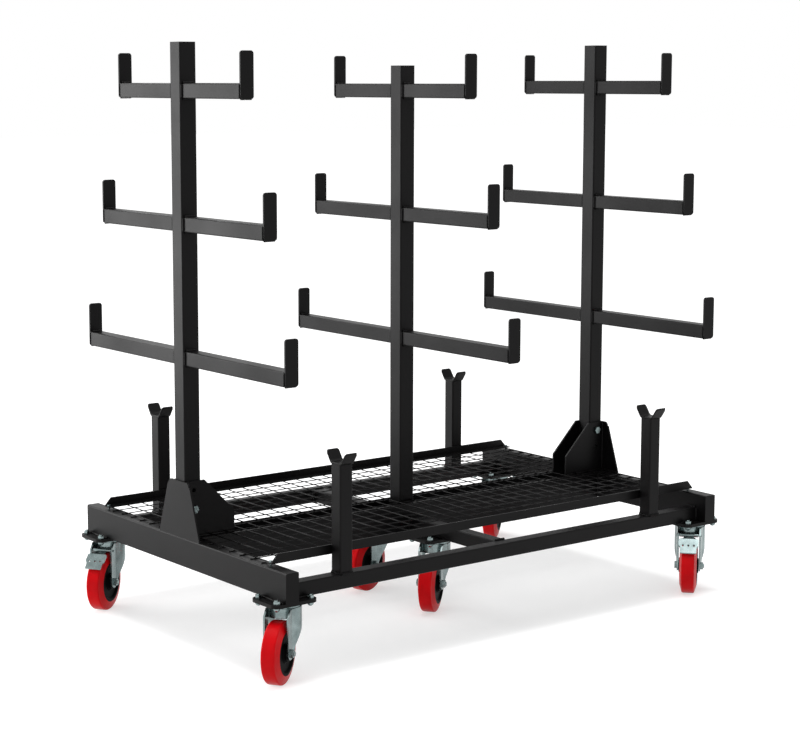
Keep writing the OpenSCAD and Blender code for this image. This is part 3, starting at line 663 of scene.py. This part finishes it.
def makeBoltHeads(spec):
    bm = bmesh.new()
    top = castorPlate["underside"]
    stretch = Matrix.Diagonal((1, 1, spec["height"] / spec["radius"], 1))
    spreadX, spreadY = spec["spread"]
    for x, y in spec["castors"]:
        for wayX in (-1, 1):
            for wayY in (-1, 1):
                place = Matrix.Translation((x + wayX * spreadX, y + wayY * spreadY, top))
                bmesh.ops.create_uvsphere(bm, u_segments=spec["sides"], v_segments=spec["rings"],
                                          radius=spec["radius"], matrix=place @ stretch)
    whole = list(bm.verts) + list(bm.edges) + list(bm.faces)
    cut = bmesh.ops.bisect_plane(bm, geom=whole, plane_co=(0, 0, top - spec["clear"]),
                                 plane_no=(0, 0, 1), clear_outer=True)
    rims = [item for item in cut["geom_cut"] if isinstance(item, bmesh.types.BMEdge)]
    bmesh.ops.edgeloop_fill(bm, edges=rims)
    bmesh.ops.recalc_face_normals(bm, faces=bm.faces)
    shadeSmooth(face for face in bm.faces if len(face.verts) < 5)
    finishPiece("castorBoltHeads", bm, "base", "zinc_bolts")


print("castor bolt heads")
makeBoltHeads(boltHeads)


# weld beads

weldBead = {
    "size": 0.0042,  # leg of a bead on each face
    "ripple": 0.0032,  # length of one ripple along the seam
    "out": 0.22,  # how far a bead's middle stands out of the corner, in sizes
    "full": 0.78,  # a bead's radius, in sizes
    "start": 0.3,  # its radius at the two ends
    "finish": 0.45,
    "depth": 0.13,  # how much a ripple swells and narrows
    "uneven": 0.05,  # how much a ripple differs from the next by chance
    "corner": 0.003,  # how far a bead stops short of a tube's corner
    "sides": 8,
    "seed": 11,
}

chance = random.Random(weldBead["seed"])


# Rippled bead in the corner between two faces that look along sideA and sideB
def addBead(total, start, end, sideA, sideB, size=weldBead["size"]):
    spec = weldBead
    start, end = Vector(start), Vector(end)
    run = end - start
    steps = 2 * max(2, round(run.length / spec["ripple"]))
    middle = start + spec["out"] * size * (sideA + sideB)
    turn = Matrix((sideA, run.normalized().cross(sideA), run.normalized())).transposed().to_4x4()
    bm = bmesh.new()
    bmesh.ops.create_circle(bm, cap_ends=True, radius=spec["start"] * size, segments=spec["sides"],
                            matrix=Matrix.Translation(middle) @ turn)
    edges = list(bm.edges)
    wide = spec["start"]
    for step in range(steps + 1):
        made = bmesh.ops.extrude_edge_only(bm, edges=edges)["geom"]
        verts = [item for item in made if isinstance(item, bmesh.types.BMVert)]
        edges = [item for item in made if isinstance(item, bmesh.types.BMEdge) and
                 all(corner in verts for corner in item.verts)]
        if step:
            bmesh.ops.translate(bm, vec=run / steps, verts=verts)
        swell = spec["depth"] * (1 if step % 2 else -1)
        swell += chance.uniform(-spec["uneven"], spec["uneven"])
        target = spec["finish"] if step == steps else spec["full"] + swell
        bmesh.ops.scale(bm, vec=(target / wide,) * 3, verts=verts,
                        space=Matrix.Translation(-(middle + run * step / steps)))
        wide = target
    bmesh.ops.edgeloop_fill(bm, edges=edges)
    bmesh.ops.recalc_face_normals(bm, faces=bm.faces)
    shadeSmooth(bm.faces)
    bead = bpy.data.meshes.new("bead")
    bm.to_mesh(bead)
    bm.free()
    total.from_mesh(bead)
    bpy.data.meshes.remove(bead)


# Beads on the four sides of a tube that butts on a face; along is the tube's way out of the face
def addTubeBeads(total, centre, along, acrossA, halfA, acrossB, halfB, skip=(), size=weldBead["size"]):
    centre = Vector(centre)
    sides = ((acrossA, halfA, acrossB, halfB), (-acrossA, halfA, acrossB, halfB),
             (acrossB, halfB, acrossA, halfA), (-acrossB, halfB, acrossA, halfA))
    for i, (out, reach, over, halfOver) in enumerate(sides):
        if i not in skip:
            half = halfOver - weldBead["corner"]
            ends = [centre + reach * out + flip * half * over for flip in (-1, 1)]
            addBead(total, ends[0], ends[1], out, along, size)


treeSeams = {
    "armLevels": (0.758, 1.115, 1.465),  # undersides of the arms on the end trees
    "armEnds": (0.4825, 0.3935, 0.295),  # where the arms meet their stop plates
    "arm": 0.04,
    "upright": 0.05,
    "centreDrop": 0.005,  # how much lower the centre tree's arms are
    "endBead": 0.0024,  # smaller beads, where an arm meets its stop plate
    "endStop": 0.006,
}


def makeTreeBeads(side, drop, spec):
    low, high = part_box(side + "_tree_upright")
    x = (low[0] + high[0]) / 2
    half = spec["arm"] / 2
    seamHalf = (half - spec["endStop"]) * right
    total = bmesh.new()
    for level, end in zip(spec["armLevels"], spec["armEnds"]):
        z = level - drop + half
        for way in (-1, 1):
            addTubeBeads(total, (x, way * spec["upright"] / 2, z), way * rear, right, half, up, half)
            addTubeBeads(total, (x, way * end, z), -way * rear, right, half, up, half,
                         skip=(2,), size=spec["endBead"])
            seam = Vector((x, way * end, z + half))
            addBead(total, seam - seamHalf, seam + seamHalf, up, -way * rear)
    finishPiece(side + "TreeWelds", total, side + "_tree", "black_powder_coat")


baseSeams = {
    "stop": 0.004,  # how far most beads end before their seam does
    "small": 0.0034,
    "plateWall": 0.005,  # of a bracket's outer plate
    "plateStop": 0.003,
    "footClear": 0.005,  # how far above the beam the upright bead of a side plate starts
    "sidePlateOut": 0.0305,  # outer faces of a bracket's side plates, from the centre line
    "beamCorner": (0.0016, 0.0012),  # in and down from the beam's edge to its rounded corner
    "beamLean": 0.4,
    "mountFrom": 0.388,  # seam of a mount plate along the beam
    "mountTo": 0.49,
    "mountIn": 0.674,  # inner end of its seams along the rail
}

# Places on the right end and the rear side, which the other three corners mirror
beamLow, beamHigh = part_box("right_end_beam")
railLow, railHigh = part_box("rear_side_rail")
postLow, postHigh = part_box("rear_right_post")
spineLow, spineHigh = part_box("rear_spine_channel")
crossLow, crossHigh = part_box("cross_members")
bracketLow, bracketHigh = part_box("right_tree_bracket")
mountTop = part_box("castor_mount_plates")[1][2]
railY, railZ = (railLow[1] + railHigh[1]) / 2, (railLow[2] + railHigh[2]) / 2
railHalf = (railHigh[1] - railLow[1]) / 2


# Foot of a bracket's outer plate on the beam, from inside
def addPlateFootBead(total, wayX, spec):
    x, z, stop = wayX * (bracketHigh[0] - spec["plateWall"]), bracketLow[2], spec["plateStop"]
    addBead(total, (x, bracketLow[1] + stop, z), (x, bracketHigh[1] - stop, z), -wayX * right, up)


# The same plate on the beam's rounded corner, from outside
def addPlateCornerBead(total, wayX, spec):
    inset, drop = spec["beamCorner"]
    x, z, stop = wayX * (beamHigh[0] - inset), beamHigh[2] - drop, spec["stop"]
    addBead(total, (x, bracketLow[1] + stop, z), (x, bracketHigh[1] - stop, z),
            wayX * spec["beamLean"] * right, spec["beamLean"] * up, spec["small"])


# Rail on beam, post on rail and spine on beam
def addFrameBeads(total, wayX, wayY, spec):
    beamX, postX = wayX * beamLow[0], wayX * (postLow[0] + postHigh[0]) / 2
    postHalf, spineY, stop = (postHigh[0] - postLow[0]) / 2, wayY * spineHigh[1], spec["stop"]
    addTubeBeads(total, (beamX, wayY * railY, railZ), -wayX * right, rear, railHalf, up, railHalf)
    addTubeBeads(total, (postX, wayY * railY, railHigh[2]), up, right, postHalf, rear, postHalf)
    addBead(total, (beamX, spineY, spineLow[2] + stop), (beamX, spineY, spineHigh[2] - stop),
            wayY * rear, -wayX * right)


# Side plate of a bracket on the outer plate and on the beam
def addSidePlateBeads(total, wayX, wayY, spec):
    outerX, sideY, stop = bracketHigh[0] - spec["plateWall"], wayY * spec["sidePlateOut"], spec["stop"]
    addBead(total, (wayX * outerX, sideY, bracketLow[2] + spec["footClear"]),
            (wayX * outerX, sideY, bracketHigh[2] - stop), wayY * rear, -wayX * right)
    addBead(total, (wayX * (bracketLow[0] + stop), sideY, bracketLow[2]),
            (wayX * (outerX - stop), sideY, bracketLow[2]), wayY * rear, up, spec["small"])


# Castor's mount plate on the beam and on both sides of the rail
def addMountBeads(total, wayX, wayY, spec):
    beamX, startX, endX = wayX * beamHigh[0], wayX * (beamLow[0] - spec["stop"]), wayX * spec["mountIn"]
    addBead(total, (beamX, wayY * spec["mountFrom"], mountTop), (beamX, wayY * spec["mountTo"], mountTop),
            wayX * right, up)
    for y, face in ((wayY * railHigh[1], wayY * rear), (wayY * railLow[1], -wayY * rear)):
        addBead(total, (startX, y, mountTop), (endX, y, mountTop), face, up)


# Cross-member on rail and spine
def addCrossBeads(total, wayY):
    crossX = (crossLow[0] + crossHigh[0]) / 2
    for y, along in ((wayY * railLow[1], -wayY * rear), (wayY * spineHigh[1], wayY * rear)):
        addTubeBeads(total, (crossX, y, railZ), along, right, railHalf, up, railHalf)


def makeBaseBeads(spec):
    total = bmesh.new()
    for wayX in (-1, 1):
        addPlateFootBead(total, wayX, spec)
        addPlateCornerBead(total, wayX, spec)
        for wayY in (-1, 1):
            addFrameBeads(total, wayX, wayY, spec)
            addSidePlateBeads(total, wayX, wayY, spec)
            addMountBeads(total, wayX, wayY, spec)
    for wayY in (-1, 1):
        addCrossBeads(total, wayY)
    finishPiece("baseWelds", total, "base", "black_powder_coat")


print("weld beads")
for side, drop in (("left", 0), ("centre", treeSeams["centreDrop"]), ("right", 0)):
    makeTreeBeads(side, drop, treeSeams)
makeBaseBeads(baseSeams)


print("studio")
makeFloor(studio)
makeWorld(studio)
for name, place, size, watts in studio["softboxes"]:
    addSoftbox(name + "Softbox", place, size, watts, studio["aim"])
makeCamera(cameraSettings)
bpy.context.scene.view_settings.view_transform = "Standard"

print("done")
